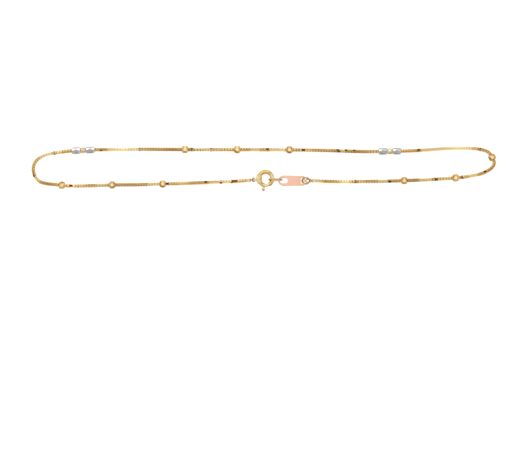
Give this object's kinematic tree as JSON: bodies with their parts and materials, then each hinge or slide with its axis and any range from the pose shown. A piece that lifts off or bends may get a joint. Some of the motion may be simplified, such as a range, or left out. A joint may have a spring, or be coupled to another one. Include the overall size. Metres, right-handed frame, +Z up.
{
  "type": "chain anklet",
  "caption": "Fine gold box chain anklet with faceted beads, two white and yellow gold stations, a spring ring clasp and a slotted tag.",
  "frame": {"origin": "middle of the anklet's bounding box, on the surface that it lies on", "axes": "+X along the long way of the loop, from the clasp towards the tag; +Y across the loop, from the clasp towards the far run of chain; +Z up from the surface"},
  "size_m": [0.1299, 0.0128, 0.0023],
  "materials": {
    "yellow_gold": "polished yellow gold, flat cuts bright",
    "white_gold": "polished white gold, flat cuts bright",
    "rose_gold": "satin rose gold sheet"
  },
  "bodies": {
    "anklet": {"box_chain": "yellow_gold", "bead_1": "yellow_gold", "bead_2": "yellow_gold", "bead_3": "yellow_gold", "bead_4": "yellow_gold", "bead_5": "yellow_gold", "bead_6": "yellow_gold", "bead_7": "yellow_gold", "bead_8": "yellow_gold", "bead_9": "yellow_gold", "station_1_first_tube": "white_gold", "station_1_spacer": "yellow_gold", "station_1_second_tube": "white_gold", "station_2_first_tube": "white_gold", "station_2_spacer": "yellow_gold", "station_2_second_tube": "white_gold", "clasp_ring": "yellow_gold", "chain_jump_ring": "yellow_gold", "hook_jump_ring": "yellow_gold", "tag_jump_ring": "yellow_gold", "tag_plate": "rose_gold"},
    "bolt": {"clasp_bolt": "yellow_gold"}
  },
  "joints": [
    {"name": "clasp_bolt_travel", "type": "hinge", "parent": "anklet", "child": "bolt", "pos_m": [0.00048, -0.00283, 0.00116], "axis": [0, 0, -1], "range_deg": [0, 42], "stiffness_Nm_per_rad": 0.002}
  ]
}
